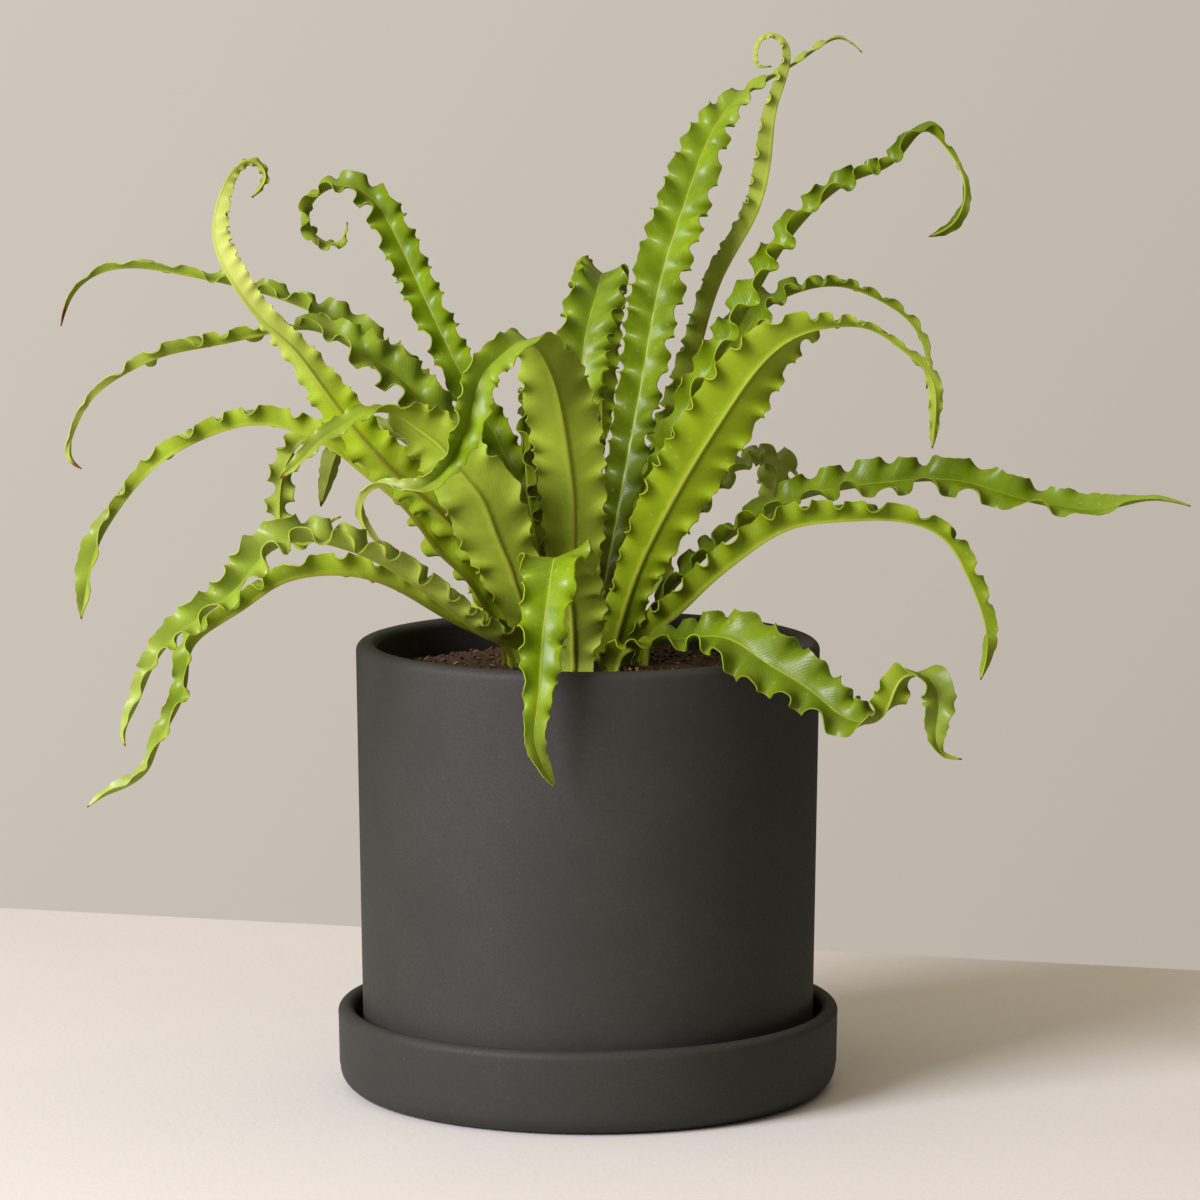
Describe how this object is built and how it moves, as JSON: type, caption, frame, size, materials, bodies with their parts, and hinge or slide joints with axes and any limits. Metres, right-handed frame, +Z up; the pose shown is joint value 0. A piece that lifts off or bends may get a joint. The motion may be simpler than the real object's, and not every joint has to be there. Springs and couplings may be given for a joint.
{
  "type": "potted bird's nest fern",
  "caption": "Small potted fern with long narrow ruffled fronds arching out of a plain charcoal ceramic cylinder pot on its matching saucer.",
  "frame": {"origin": "on the table, at the middle of the saucer's flat underside, on the pot's axis", "axes": "+Z up along the pot's axis, -Y towards the front, +X to the right as seen from the front"},
  "size_m": [0.406, 0.2682, 0.3743],
  "materials": {
    "ceramic": "matte",
    "soil": "matte",
    "crown": "matte",
    "leaf": "satin"
  },
  "bodies": {
    "root": {"saucer": "ceramic", "pot": "ceramic", "soil": "soil", "crown": "crown", "frond_tall_1": "leaf", "frond_tall_2": "leaf", "frond_right_1": "leaf", "frond_right_2": "leaf", "frond_right_3": "leaf", "frond_right_4": "leaf", "frond_right_5": "leaf", "frond_right_6": "leaf", "frond_front_1": "leaf", "frond_front_2": "leaf", "frond_front_3": "leaf", "frond_back_1": "leaf", "frond_back_2": "leaf", "frond_back_3": "leaf", "frond_back_4": "leaf", "frond_back_5": "leaf", "frond_left_1": "leaf", "frond_left_2": "leaf", "frond_left_3": "leaf", "frond_left_4": "leaf", "frond_left_5": "leaf", "frond_left_6": "leaf", "frond_left_7": "leaf", "frond_left_8": "leaf", "frond_left_9": "leaf", "frond_left_10": "leaf"}
  },
  "joints": []
}
